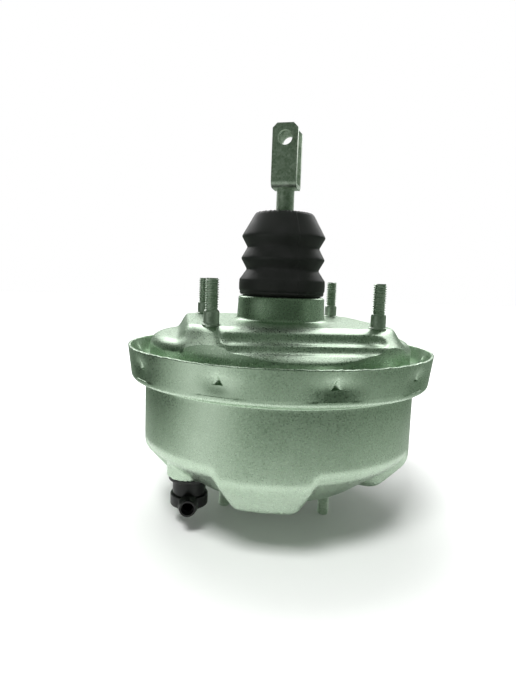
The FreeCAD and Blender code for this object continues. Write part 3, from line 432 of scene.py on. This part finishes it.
def front_shell():
    """Front housing half: ragged rim with ten lances, rolled root and the bowl with four lobes."""
    azimuths = shell_azimuths()
    levels = list(np.linspace(RIM_TOP, LANCE_BASE, 22)) + [LANCE_BASE - 0.15]
    levels += list(np.linspace(LANCE_BASE - 0.6, RIM_END, 9))
    fine, coarse = wave_noise(azimuths, 3, 14, 30, 160), wave_noise(azimuths, 4, 6, 3, 12)
    ragged = RAGGED * fine + RAGGED * coarse - RAGGED_DROP
    rows = []
    for z in levels:
        dent, lance = lance_dent(azimuths, z)
        r = RIM_R - RIM_LEAN * (RIM_TOP - z) / (RIM_TOP - RIM_ROOT) - dent - lance
        at_edge = max(1 - (RIM_TOP - z) / RAGGED_BAND, 0.0)
        rows.append(np.stack([r * np.cos(azimuths), r * np.sin(azimuths), z + ragged * at_edge],
                             axis=-1))
    root = rounded_line([
        (99.45, -34.2), (RIM_R - RIM_LEAN, RIM_ROOT, 3.4), (BOWL_R + 1.2, RIM_ROOT, 0.8),
        (BOWL_R + 1.2, RIM_ROOT - 1.2, 0.8), (BOWL_R, RIM_ROOT - 2.0, 0.8), (BOWL_R, -42.4)])
    count = len(azimuths)
    points = np.concatenate([np.array(rows).reshape(-1, 3), turned_grid(root, azimuths),
                             bowl_rows(azimuths).reshape(-1, 3)])
    faces = grid_faces(len(points) // count, count, flip=True)
    from_valve = np.hypot(points[:, 0] - VALVE_CENTRE[0], points[:, 1] - VALVE_CENTRE[1])
    hole = (from_valve < GROMMET_HOLE_R) & (points[:, 2] < CONE_TOP)
    faces = [face for face in faces if not hole[list(face)].any()]
    kept = np.unique(np.array(faces))
    number = {int(old): new for new, old in enumerate(kept)}
    faces = [tuple(number[i] for i in face) for face in faces]
    add_piece("front_shell_pressing", points[kept], faces, "housing", "zinc_sheet", "front_shell",
              wall_mm=SHEET)


# ---- rear shell ---------------------------------------------------------------------------------

# Platform: a square with round corners, whose steep flanks turn into the sloping front face.
PLATFORM_HALF, PLATFORM_CORNER, FLANK = 64.5, 22.0, 1.9
FRONT_EDGE, FRONT_SLOPE = 58.0, math.radians(30.0)
TOP_BEND, SLOPE_BEND = 3.2, 4.0

# Two grooves across the slope: distance down it, radius and depth; then their half length and
# the place of their middle.
GROOVES = ((11.5, 10.0, 1.45), (21.5, 8.5, 1.0))
GROOVE_HALF, GROOVE_X, GROOVE_LIP = 43.0, 2.0, 0.7

# Dome: a shelf round the platform, lower in front, with a round shoulder down to the wall.
# FRONT_FADE says how soon the front's lower shelf ends where the slope turns round its corners.
DOME_R, DOME_SHOULDER, FRONT_SHOULDER, DOME_FOOT = 87.5, 7.2, 3.0, -28.0
SHELF_Z, SHELF_FALL, FRONT_SHELF, SHELF_BEND, FRONT_FADE = -8.2, 1.8, -15.4, 3.5, 1.3


def rear_height(x, y):
    """Height of the rear shell: dome, platform with its flanks, and the sloping front face."""
    side_x = np.abs(x) - (PLATFORM_HALF - PLATFORM_CORNER)
    side_y = y - (PLATFORM_HALF - PLATFORM_CORNER)
    outside = np.hypot(np.maximum(side_x, 0), np.maximum(side_y, 0))
    edge = outside + np.minimum(np.maximum(side_x, side_y), 0) - PLATFORM_CORNER
    top = soft_min(np.zeros_like(x), -FLANK * edge, TOP_BEND)

    ahead = np.maximum(-y - (FRONT_EDGE - PLATFORM_CORNER), 0)
    from_corner = np.hypot(np.maximum(side_x, 0), ahead)
    turned = np.maximum(side_x, 0) / np.maximum(from_corner, 1e-6)
    steep = math.tan(FRONT_SLOPE) + (FLANK - math.tan(FRONT_SLOPE)) * turned ** 2
    slope = -steep * (from_corner - PLATFORM_CORNER)
    along = (from_corner - PLATFORM_CORNER) / math.cos(FRONT_SLOPE)
    for at, radius, depth in GROOVES:
        from_groove = np.hypot(along - at, np.maximum(np.abs(x - GROOVE_X) - GROOVE_HALF, 0))
        sag = radius - np.sqrt(np.maximum(radius ** 2 - from_groove ** 2, 0))
        groove = soft_max(depth - sag, np.zeros_like(x), GROOVE_LIP)
        slope = slope - groove / math.cos(FRONT_SLOPE)
    height = soft_min(top, slope, SLOPE_BEND)

    front = np.where(ahead > 0, np.clip(1.0 - FRONT_FADE * turned, 0, 1), 0.0)
    r = np.hypot(x, y)
    shelf = SHELF_Z - SHELF_FALL * np.clip((r - PLATFORM_HALF) / (DOME_R - PLATFORM_HALF), 0, 1)
    shelf = shelf + (FRONT_SHELF - shelf) * front
    shoulder = DOME_SHOULDER + (FRONT_SHOULDER - DOME_SHOULDER) * front
    past = np.clip((r - (DOME_R - DOME_SHOULDER)) / DOME_SHOULDER, 0, 1)
    dome = shelf - shoulder + shoulder * np.sqrt(1 - past ** 2)
    return soft_max(height, dome, SHELF_BEND)


def rear_shell():
    """Rear housing half: curled neck, platform with two grooves, dome and flange."""
    azimuths = np.linspace(0, TURN, 480, endpoint=False)
    neck = rounded_line([
        (25.9, 14.9), (25.9, 16.4, 0.7), (29.2, 16.4, 2.0), (30.0, 0.4, 2.6), (34.2, 0.25, 1.5),
        (35.6, 0.0, 1.5), (37.0, 0.0)], 15.0)
    # The rings lie close together from the platform's edge to the dome's shoulder.
    rings = list(np.arange(38.5, 55.0, 1.5)) + list(np.arange(55.0, 80.2, 0.7))
    rings += [DOME_R - DOME_SHOULDER * (1 - math.sin(math.radians(a))) for a in range(0, 91, 5)]
    surface = []
    for ring in rings:
        x, y = ring * np.cos(azimuths), ring * np.sin(azimuths)
        surface.append(np.stack([x, y, rear_height(x, y)], axis=-1))
    wall = rounded_line([(DOME_R, -19.0), (DOME_R, DOME_FOOT, 2.5), (98.3, DOME_FOOT)], 20.0)
    count = len(azimuths)
    points = np.concatenate([turned_grid(divided(neck, 3.0), azimuths),
                             np.array(surface).reshape(-1, 3), turned_grid(wall, azimuths)])
    faces = grid_faces(len(points) // count, count, flip=True)
    add_piece("rear_shell_pressing", points, faces, "housing", "zinc_sheet", "rear_shell",
              wall_mm=SHEET)


# ---- studs --------------------------------------------------------------------------------------

# 5/16 inch studs with 18 threads to the inch, whose depth is 0.61 of the pitch. The thread fades
# in over its first 0.7 mm and out over its last 0.9 mm.
STUD_R, PITCH, THREAD_DEPTH = 3.97, 1.411, 0.61
FADE_IN, FADE_OUT = 0.7, 0.9
STUD_COLUMNS, ROWS_PER_PITCH = 28, 9
# Places and ends of the studs: half the firewall square, half the distance between the other two.
FIREWALL_HALF, FIREWALL_THREAD, FIREWALL_END = 50.4, 9.2, 27.0
MASTER_HALF, MASTER_AZIMUTH, MASTER_END = 35.75, math.radians(-15.3), 27.5


def threaded_stud(line_below, thread_low, thread_high):
    """Points and faces of one stud: an outline below, then a helical thread up to its end."""
    minor = STUD_R - THREAD_DEPTH * PITCH
    azimuths = np.linspace(0, TURN, STUD_COLUMNS, endpoint=False)
    rows = [turned_grid(line_below, azimuths)]
    count = int((thread_high - thread_low) / PITCH * ROWS_PER_PITCH)
    for z in np.linspace(thread_low, thread_high, count):
        phase = (z / PITCH - azimuths / TURN) % 1.0
        tooth = np.clip(1.25 - 2.5 * np.abs(phase - 0.5), 0.0, 1.0)
        r = minor + (STUD_R - minor) * tooth
        fade = min(1.0, (thread_high - z) / FADE_OUT, (z - thread_low) / FADE_IN)
        r = np.minimum(r, minor + (STUD_R - minor) * max(fade, 0.25) + 0.1)
        rows.append(np.stack([r * np.cos(azimuths), r * np.sin(azimuths),
                              np.full(STUD_COLUMNS, z)], axis=-1))
    points = np.concatenate(rows)
    faces = grid_faces(len(points) // STUD_COLUMNS, STUD_COLUMNS)
    faces.append(tuple(range(STUD_COLUMNS))[::-1])
    faces.append(tuple(range(len(points) - STUD_COLUMNS, len(points))))
    return points, faces


def stud_set(name, node, places, points, faces):
    """Copies of one stud at their places as one piece, each turned a little further."""
    all_points, all_faces = [], []
    for number, place in enumerate(places):
        cos, sin = math.cos(1.3 * number), math.sin(1.3 * number)
        turned = points @ np.array([[cos, sin, 0], [-sin, cos, 0], [0, 0, 1]])
        all_points.append(turned + np.array(place))
        start = number * len(points)
        all_faces.extend(tuple(i + start for i in face) for face in faces)
    add_piece(name, np.concatenate(all_points), all_faces, "housing", "plated_studs", node,
              sharp_deg=50)


def studs():
    """Four firewall studs with shoulders, and two master cylinder studs that point down."""
    below = [(6.3, -4.6), (6.3, -1.7), (4.9, -1.6), (4.9, -0.05), (5.35, 0.05), (5.35, 0.45),
             (4.75, 0.85), (4.62, 1.2), (4.6, 7.4), (4.45, 8.2), (3.6, FIREWALL_THREAD)]
    points, faces = threaded_stud(below, FIREWALL_THREAD, FIREWALL_END)
    sides = (-FIREWALL_HALF, FIREWALL_HALF)
    places = [(x, y, 0.0) for x in sides for y in sides]
    stud_set("firewall_stud_threads", "firewall_studs", places, points, faces)

    below = [(6.0, -7.2), (6.0, -4.7), (4.4, -4.6), (4.4, -0.05), (3.6, 0.0)]
    points, faces = threaded_stud(below, 0.0, MASTER_END)
    x, y = MASTER_HALF * math.cos(MASTER_AZIMUTH), MASTER_HALF * math.sin(MASTER_AZIMUTH)
    places = [(x, y, PAD_Z), (-x, -y, PAD_Z)]
    stud_set("master_cylinder_stud_threads", "master_cylinder_studs", places,
             points * np.array([1, -1, -1]), faces)


# ---- boot ---------------------------------------------------------------------------------------

BOOT_R, BOOT_WALL = 28.0, 1.7
# Mould lines up two sides, above the bead and outside the mouth.
MOULD_LINES = [math.radians(-80.0), math.radians(100.0)]
MOULD_LINE_HEIGHT, MOULD_LINE_HALF, MOULD_LINE_Z, MOULD_LINE_R = 0.28, 0.5, 17.5, 17.0
# Uneven flash round the top edge.
FLASH_HEIGHT, FLASH_R, FLASH_Z = 0.35, 19.0, 69.5


def boot():
    """Rubber boot: three folds, a bead over the neck, a mould line and a mouth round the rod."""
    outline = divided(rounded_line([
        (26.4, 15.2), (26.4, 17.1, 0.3), (28.0, 17.1, 0.5), (28.7, 18.4, 0.4), (28.4, 19.1, 0.4),
        (29.1, 20.4, 1.0), (29.2, 24.5, 2.0), (29.0, 27.2, 1.4), (24.3, 34.0, 1.3),
        (28.3, 41.2, 1.4), (24.2, 48.6, 1.3), (28.2, 55.8, 1.4), (20.2, 70.0, 1.6),
        (18.4, 71.4, 0.8), (10.9, 71.0, 0.8), (9.9, 70.2)], 22.0), 1.6)
    azimuths = np.linspace(0, TURN, 180, endpoint=False)
    extra = [line + math.radians(offset) for line in MOULD_LINES
             for offset in (-1.6, -0.8, -0.35, 0.35, 0.8, 1.6)]
    azimuths = np.array(sorted((azimuths % TURN).tolist() + [a % TURN for a in extra]))
    count = len(azimuths)
    points = turned_grid(outline, azimuths).reshape(len(outline), count, 3)
    r, z = np.array(outline).T
    outer = ((z > MOULD_LINE_Z) & (r > MOULD_LINE_R)).astype(float)
    for line in MOULD_LINES:
        away = np.abs((azimuths - line + math.pi) % TURN - math.pi) * BOOT_R
        ridge = MOULD_LINE_HEIGHT * np.clip(1 - away / MOULD_LINE_HALF, 0, 1)
        push = outer[:, None] * ridge[None, :]
        points[..., 0] += push * np.cos(azimuths)
        points[..., 1] += push * np.sin(azimuths)
    flash = FLASH_HEIGHT * np.maximum(wave_noise(azimuths, 8, 12, 20, 60), 0)
    at_top = np.exp(-(r - FLASH_R) ** 2) * (z > FLASH_Z)
    points[..., 2] += at_top[:, None] * flash[None, :]
    piece = add_piece("rubber_boot", points.reshape(-1, 3), grid_faces(len(outline), count), None,
                      "boot_rubber", "boot", sharp_deg=60, wall_mm=BOOT_WALL)
    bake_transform(piece)


# ---- springs ------------------------------------------------------------------------------------

# Each coil: piece, node, body, mean radius, wire radius, turns, joint, the joint's travel, centre.
COILS = (
    ("return_coil", "return_spring", "housing", 26.0, 1.6, 5.25, "piston_stroke", 30.0, (0, 0)),
    ("rod_coil", "rod_return_spring", "power_piston", 8.0, 0.7, 4, "valve_travel", 1.5, (0, 0)),
    ("check_coil", "check_valve_spring", "check_valve", 4.6, 0.35, 4, "check_disc_lift", 2.0,
     VALVE_CENTRE))
# Length that each spring gives up at its top, for the washer that tilts with the rod.
SPRING_GIVE = 0.6


def coil_spring(name, node, body, mean_r, wire_r, low, high, turns, centre):
    """Coil spring of round wire that stays between two heights."""
    steps, sides = int(turns * 36), 10
    points = []
    for step in range(steps + 1):
        turn = TURN * turns * step / steps
        z = low + wire_r + (high - low - 2 * wire_r) * step / steps
        for side in range(sides):
            a = TURN * side / sides
            r = mean_r + wire_r * math.cos(a)
            points.append((centre[0] + r * math.cos(turn), centre[1] + r * math.sin(turn),
                           z + wire_r * math.sin(a)))
    faces = grid_faces(steps + 1, sides)
    faces.append(tuple(range(sides))[::-1])
    faces.append(tuple(range(steps * sides, (steps + 1) * sides)))
    return add_piece(name, points, faces, body, "spring_steel", node, sharp_deg=60)


def springs():
    """Springs between the ends of their nodes."""
    for name, node, body, mean_r, wire_r, turns, joint, travel, centre in COILS:
        node_low, node_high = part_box(node)
        low, high = node_low.z / MM, node_high.z / MM - SPRING_GIVE
        piece = coil_spring(name, node, body, mean_r, wire_r, low, high, turns, centre)
        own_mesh(piece)


# ---- edges and finishes of the CAD nodes --------------------------------------------------------

EDGE_RADII = {"clevis": 0.35, "check_valve_elbow": 0.25, "check_valve_body": 0.25}


def finish_nodes():
    """Gives every CAD node the finish of its slot, and rounds the edges of those that show."""
    slots = {part["node"]: part["material_slot"] for part in frame["record"]["subparts"]}
    for name, node in frame["nodes"].items():
        node.data.materials.clear()
        node.data.materials.append(FINISHES[slots[name]])
    for name, radius in EDGE_RADII.items():
        bevel = frame["nodes"][name].modifiers.new("edges", "BEVEL")
        bevel.width = radius * MM
        bevel.segments = 2
        bevel.limit_method = "ANGLE"
        bevel.angle_limit = math.radians(40)
        bevel.harden_normals = True


# ---- photo studio, in metres --------------------------------------------------------------------

TABLE_Z = -0.136
TABLE_HALF = 4.0
# The table keeps its shadow near the object and is lifted to plain white further out.
LIFT_FROM, LIFT_TO, LIFT_NEAR = 0.12, 0.42, 0.02
WORLD_LIGHT = 0.14
WHITE, GREEN_TINT = "#ffffff", "#b4d8b2"

# Tones that reflections see round the table, as (azimuth in degrees, floor, wall, ceiling): dark
# behind on the left, white on the front left, dim at the camera's side, and grey on the right
# and behind.
TONES = (
    (-180, 0.30, 0.12, 0.18), (-166, 0.75, 0.16, 0.18), (-150, 0.95, 0.18, 0.18),
    (-136, 0.70, 0.16, 0.16), (-122, 0.30, 0.12, 0.18), (-106, 0.16, 0.10, 0.18),
    (-80, 0.14, 0.09, 0.18), (-58, 0.10, 0.09, 0.18), (-40, 0.20, 0.18, 0.15),
    (-10, 0.26, 0.28, 0.18), (20, 0.30, 0.32, 0.18), (50, 0.45, 0.42, 0.20),
    (80, 0.50, 0.48, 0.22), (110, 0.45, 0.42, 0.20), (140, 0.20, 0.20, 0.18),
    (156, 0.04, 0.05, 0.12), (168, 0.04, 0.05, 0.15))

# Long soft box behind the object, which the sloping face reflects: its span in degrees, its two
# edges as (radius, height), and its tone.
SOFT_BOX_SPAN, SOFT_BOX_EDGES, SOFT_BOX_TONE = (30, 135), ((0.86, 0.30), (0.50, 0.80)), 2.6

# Each lamp: place, width, height, power in watts. The key stands at the upper left in front and
# throws the shadow.
LAMPS = {
    "key": ((-0.30, -0.62, 0.85), 0.35, 0.30, 11.0),
    "overhead": ((-0.05, 0.25, 1.0), 0.7, 0.5, 6.5)}
LAMP_TARGET = (0, 0, -0.05)


def add_floor():
    """White table top that the object stands on, which runs into the white backdrop."""
    corners = [(x * TABLE_HALF, y * TABLE_HALF, TABLE_Z - 0.1 * MM)
               for x, y in ((-1, -1), (1, -1), (1, 1), (-1, 1))]
    floor = new_object("floor", corners, [(0, 1, 2, 3)])
    material, tree, shader = new_material("white_table")
    shader.inputs["Base Color"].default_value = linear("#f6f8f6")
    shader.inputs["Roughness"].default_value = 0.7
    shader.inputs["Specular IOR Level"].default_value = 0.1
    place = add_node(tree, "ShaderNodeTexCoord").outputs["Object"]
    distance = add_node(tree, "ShaderNodeVectorMath", {0: place}, operation="LENGTH")
    lift = add_node(tree, "ShaderNodeMapRange", {
        "Value": distance.outputs["Value"], "From Min": LIFT_FROM, "From Max": LIFT_TO,
        "To Min": LIFT_NEAR, "To Max": 1.0}, interpolation_type="SMOOTHSTEP")
    seen = add_node(tree, "ShaderNodeLightPath").outputs["Is Camera Ray"]
    strength = add_node(tree, "ShaderNodeMath", {
        0: seen, 1: lift.outputs[0]}, operation="MULTIPLY")
    tree.links.new(strength.outputs[0], shader.inputs["Emission Strength"])
    shader.inputs["Emission Color"].default_value = linear(WHITE)
    floor.data.materials.append(material)


def add_world():
    """White surroundings for the camera, reflections and glass, dimmer as a light."""
    world = bpy.data.worlds.new("surroundings")
    bpy.context.scene.world = world
    world.use_nodes = True
    tree = world.node_tree
    background = next(n for n in tree.nodes if n.type == "BACKGROUND")
    path = add_node(tree, "ShaderNodeLightPath").outputs
    seen = path["Is Camera Ray"]
    for ray in ("Is Glossy Ray", "Is Transmission Ray"):
        seen = add_node(tree, "ShaderNodeMath", {0: seen, 1: path[ray]},
                        operation="MAXIMUM").outputs[0]
    strength = add_node(tree, "ShaderNodeMapRange", {
        "Value": seen, "To Min": WORLD_LIGHT, "To Max": 1.0})
    background.inputs["Color"].default_value = linear(WHITE)
    tree.links.new(strength.outputs[0], background.inputs["Strength"])


def polar(radius, azimuth, z):
    """Place in metres at a radius and an azimuth in degrees."""
    a = math.radians(azimuth)
    return radius * math.cos(a), radius * math.sin(a), z


def add_card(name, points, faces, tones):
    """Studio card that only reflections see, with points in metres and a tone at each point."""
    card = new_object(name, points, faces)
    tone = card.data.attributes.new("tone", "FLOAT", "POINT")
    tone.data.foreach_set("value", tones)
    material, tree, shader = new_material(name)
    shader.inputs["Base Color"].default_value = (0, 0, 0, 1)
    shader.inputs["Specular IOR Level"].default_value = 0.0
    strength = add_node(tree, "ShaderNodeAttribute", attribute_name="tone").outputs["Fac"]
    colour = add_node(tree, "ShaderNodeMix", {
        "Factor": strength, "A": linear(GREEN_TINT), "B": linear(WHITE)}, data_type="RGBA")
    tree.links.new(colour.outputs["Result"], shader.inputs["Emission Color"])
    tree.links.new(strength, shader.inputs["Emission Strength"])
    card.data.materials.append(material)
    card.visible_camera = False
    card.visible_diffuse = False
    card.visible_shadow = False
    card.visible_transmission = False


def add_surroundings():
    """Room that reflections see round the white table, and the long soft box behind."""
    azimuths = np.linspace(-180, 180, 96, endpoint=False)
    turns, *levels = zip(*TONES)
    floor, wall, ceiling = (np.interp(azimuths, turns, level, period=360) for level in levels)
    table = TABLE_Z + 0.4 * MM
    rings = [(0.19, table, 0.55 + 0.35 * floor), (0.31, table, 0.45 + 0.45 * floor),
             (0.41, table, floor), (0.95, table, floor), (0.95, 0.05, wall),
             (0.95, 0.45, (wall + ceiling) / 2), (0.80, 0.75, ceiling), (0.45, 1.0, ceiling),
             (0.05, 1.1, ceiling)]
    points = [polar(radius, turn, z) for radius, z, _ in rings for turn in azimuths]
    tones = np.concatenate([tone for _, _, tone in rings])
    add_card("studio_room", points, grid_faces(len(rings), len(azimuths)), tones)

    count = 15
    turns = np.linspace(*SOFT_BOX_SPAN, count)
    points = [polar(radius, turn, z) for radius, z in SOFT_BOX_EDGES for turn in turns]
    faces = [(i, i + 1, i + 1 + count, i + count) for i in range(count - 1)]
    add_card("back_soft_box", points, faces, [SOFT_BOX_TONE] * len(points))


def add_lamps():
    """Soft rectangular lamps aimed at the object, which reflections don't see."""
    for name, (place, width, height, power) in LAMPS.items():
        data = bpy.data.lights.new(name, "AREA")
        data.shape = "RECTANGLE"
        data.size, data.size_y = width, height
        data.energy = power
        lamp = bpy.data.objects.new(name, data)
        bpy.context.scene.collection.objects.link(lamp)
        lamp.location = place
        aim = Vector(LAMP_TARGET) - Vector(place)
        lamp.rotation_euler = aim.to_track_quat("-Z", "Y").to_euler()
        lamp.visible_glossy = False


# ---- making -------------------------------------------------------------------------------------

add_camera()
finish_nodes()
front_shell()
rear_shell()
studs()
boot()
springs()
add_floor()
add_world()
add_surroundings()
add_lamps()
bpy.context.scene.view_settings.view_transform = "Standard"
